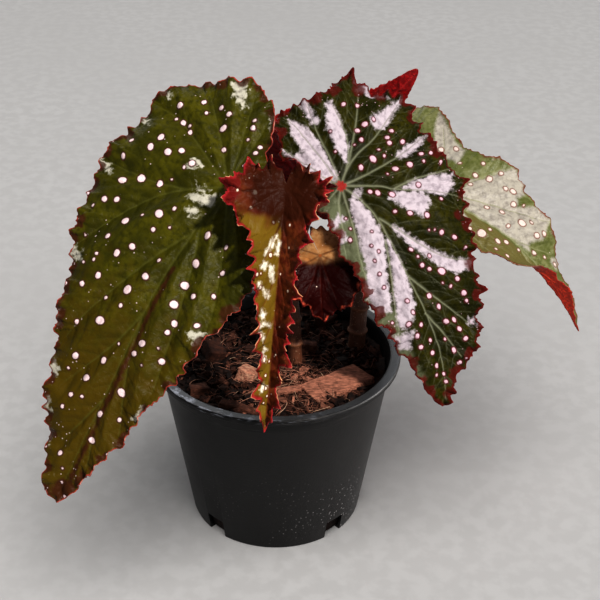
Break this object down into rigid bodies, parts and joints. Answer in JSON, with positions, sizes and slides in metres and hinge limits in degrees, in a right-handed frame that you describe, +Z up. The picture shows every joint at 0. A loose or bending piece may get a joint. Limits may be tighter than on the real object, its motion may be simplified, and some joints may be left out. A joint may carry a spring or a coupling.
{
  "type": "potted cane begonia",
  "caption": "House plant in a round tapered nursery pot: jointed canes carry wing-shaped, toothed, spotted leaves on short stalks over coarse bark mix.",
  "frame": {"origin": "centre of the pot's flat underside, on the floor", "axes": "+Z up along the pot's axis, -Y towards the front, where the narrow folded leaf hangs, +X to the right as seen from the front"},
  "size_m": [0.2443, 0.1728, 0.213],
  "materials": {
    "pot_plastic": "satin",
    "potting_mix": "matte",
    "cane": "satin",
    "stalk": "satin",
    "leaf_left": "satin",
    "leaf_right": "satin",
    "leaf_far_right": "satin",
    "leaf_front": "satin",
    "leaf_back": "satin",
    "leaf_inner": "satin"
  },
  "bodies": {
    "root": {"pot": "pot_plastic", "potting_mix": "potting_mix", "cane_left": "cane", "cane_right": "cane", "leaf_left": "leaf_left", "leaf_right": "leaf_right", "leaf_far_right": "leaf_far_right", "leaf_front": "leaf_front", "leaf_back": "leaf_back", "leaf_inner": "leaf_inner", "stalk_left": "stalk", "stalk_right": "stalk", "stalk_far_right": "stalk", "stalk_front": "stalk", "stalk_back": "stalk", "stalk_inner": "stalk"}
  },
  "joints": []
}
